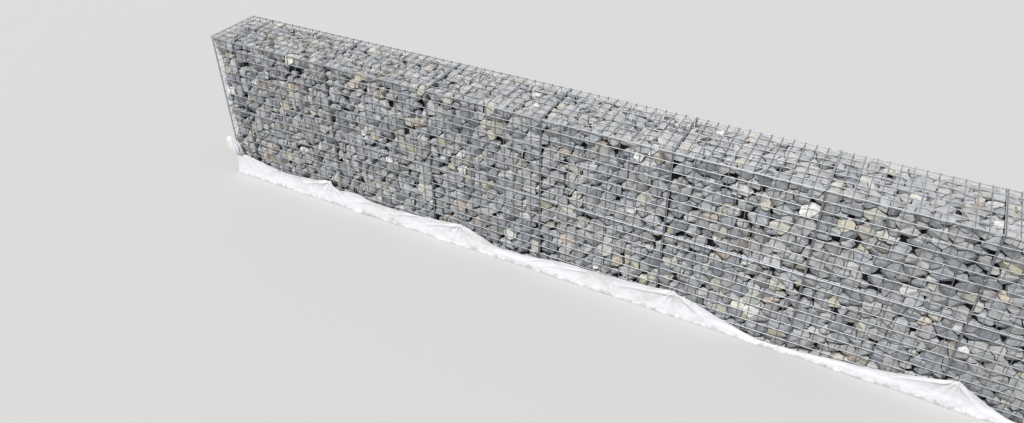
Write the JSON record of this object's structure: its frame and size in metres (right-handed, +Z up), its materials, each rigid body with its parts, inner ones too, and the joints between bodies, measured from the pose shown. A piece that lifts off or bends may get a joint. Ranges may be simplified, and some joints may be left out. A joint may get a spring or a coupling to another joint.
{
  "type": "gabion wall",
  "caption": "Straight free-standing gabion wall: stacked tiers of galvanised welded-mesh baskets packed with crushed stone, with a white ground cloth turned up along its front foot.",
  "frame": {"origin": "centre of the footprint on the ground, the ground cloth's foot and bunched corner included", "axes": "+X along the row, from the cut-down end basket towards the last bay; +Y from the front, where the cloth lies, to the back; +Z up"},
  "size_m": [7.1842, 0.58, 1.3814],
  "materials": {
    "galvanised_wire": "hot-dip galvanised welded wire, dull silver, light in the level wires",
    "crushed_stone": "angular crushed rock, blue-grey with scattered cream, ochre and olive pieces",
    "white_geotextile": "white non-woven needle-punched cloth, creased and soiled along its lower edge"
  },
  "bodies": {
    "root": {"front_mesh_end_bay": "galvanised_wire", "back_mesh_end_bay": "galvanised_wire", "lid_mesh_end_bay": "galvanised_wire", "stone_fill_end_bay": "crushed_stone", "front_mesh_bay_1": "galvanised_wire", "back_mesh_bay_1": "galvanised_wire", "lid_mesh_bay_1": "galvanised_wire", "stone_fill_bay_1": "crushed_stone", "front_mesh_bay_2": "galvanised_wire", "back_mesh_bay_2": "galvanised_wire", "lid_mesh_bay_2": "galvanised_wire", "stone_fill_bay_2": "crushed_stone", "front_mesh_bay_3": "galvanised_wire", "back_mesh_bay_3": "galvanised_wire", "lid_mesh_bay_3": "galvanised_wire", "stone_fill_bay_3": "crushed_stone", "front_mesh_bay_4": "galvanised_wire", "back_mesh_bay_4": "galvanised_wire", "lid_mesh_bay_4": "galvanised_wire", "stone_fill_bay_4": "crushed_stone", "front_mesh_bay_5": "galvanised_wire", "back_mesh_bay_5": "galvanised_wire", "lid_mesh_bay_5": "galvanised_wire", "stone_fill_bay_5": "crushed_stone", "front_mesh_bay_6": "galvanised_wire", "back_mesh_bay_6": "galvanised_wire", "lid_mesh_bay_6": "galvanised_wire", "stone_fill_bay_6": "crushed_stone", "front_mesh_bay_7": "galvanised_wire", "back_mesh_bay_7": "galvanised_wire", "lid_mesh_bay_7": "galvanised_wire", "stone_fill_bay_7": "crushed_stone", "ground_mesh_left": "galvanised_wire", "ground_mesh_right": "galvanised_wire", "middle_mesh_left": "galvanised_wire", "middle_mesh_right": "galvanised_wire", "left_end_mesh": "galvanised_wire", "right_end_mesh": "galvanised_wire", "partition_frames": "galvanised_wire", "ground_cloth": "white_geotextile"}
  },
  "joints": []
}
